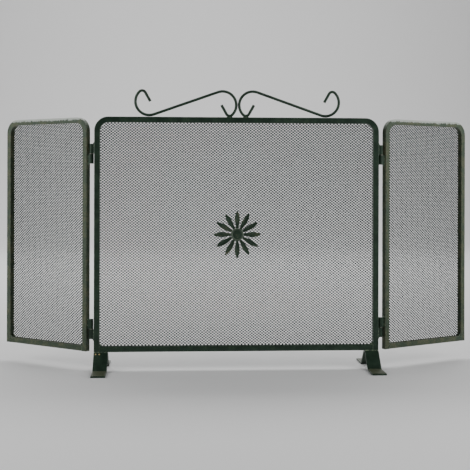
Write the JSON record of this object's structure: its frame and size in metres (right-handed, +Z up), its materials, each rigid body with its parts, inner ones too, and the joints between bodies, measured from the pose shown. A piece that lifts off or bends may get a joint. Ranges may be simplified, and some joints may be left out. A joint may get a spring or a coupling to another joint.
{
  "type": "fireplace screen",
  "caption": "Free-standing folding fire screen: a mesh centre panel on bent flat-bar feet, hinged mesh wings, scroll handles on top and a flower medallion.",
  "frame": {"origin": "on the floor, under the middle of the box of the screen with its wings at rest", "axes": "+X along the centre panel, to the right seen from the front; +Y to the back, where the wings fold; +Z up"},
  "size_m": [1.0392, 0.2442, 0.5971],
  "materials": {
    "dark_green_paint": "satin, very dark green",
    "mesh_paint": "satin, very dark green, on expanded metal",
    "dull_steel": "dull"
  },
  "bodies": {
    "centre": {"centre_hoop": "dark_green_paint", "centre_bottom_rail": "dark_green_paint", "centre_mesh": "mesh_paint", "left_foot": "dark_green_paint", "right_foot": "dark_green_paint", "left_scroll": "dark_green_paint", "right_scroll": "dark_green_paint", "flower_rosette": "dark_green_paint", "flower_boss": "dark_green_paint", "flower_back_washer": "dull_steel", "flower_nut": "dull_steel", "left_upper_hinge_upper_knuckle": "dark_green_paint", "left_lower_hinge_lower_knuckle": "dark_green_paint", "left_lower_hinge_washer": "dull_steel", "left_lower_hinge_pin": "dull_steel", "right_upper_hinge_upper_knuckle": "dark_green_paint", "right_lower_hinge_lower_knuckle": "dark_green_paint", "right_lower_hinge_washer": "dull_steel", "right_lower_hinge_pin": "dull_steel"},
    "left_wing": {"left_wing_hoop": "dark_green_paint", "left_wing_bottom_rail": "dark_green_paint", "left_wing_mesh": "mesh_paint", "left_upper_hinge_lower_knuckle": "dark_green_paint", "left_upper_hinge_washer": "dull_steel", "left_upper_hinge_pin": "dull_steel", "left_lower_hinge_upper_knuckle": "dark_green_paint"},
    "right_wing": {"right_wing_hoop": "dark_green_paint", "right_wing_bottom_rail": "dark_green_paint", "right_wing_mesh": "mesh_paint", "right_upper_hinge_lower_knuckle": "dark_green_paint", "right_upper_hinge_washer": "dull_steel", "right_upper_hinge_pin": "dull_steel", "right_lower_hinge_upper_knuckle": "dark_green_paint"}
  },
  "joints": [
    {"name": "left_wing_fold", "type": "hinge", "parent": "centre", "child": "left_wing", "pos_m": [-0.31966, -0.02612, 0.288], "axis": [0, 0, -1], "range_deg": [-97, 83]},
    {"name": "right_wing_fold", "type": "hinge", "parent": "centre", "child": "right_wing", "pos_m": [0.30214, -0.02612, 0.288], "axis": [0, 0, 1], "range_deg": [-89, 91]}
  ]
}
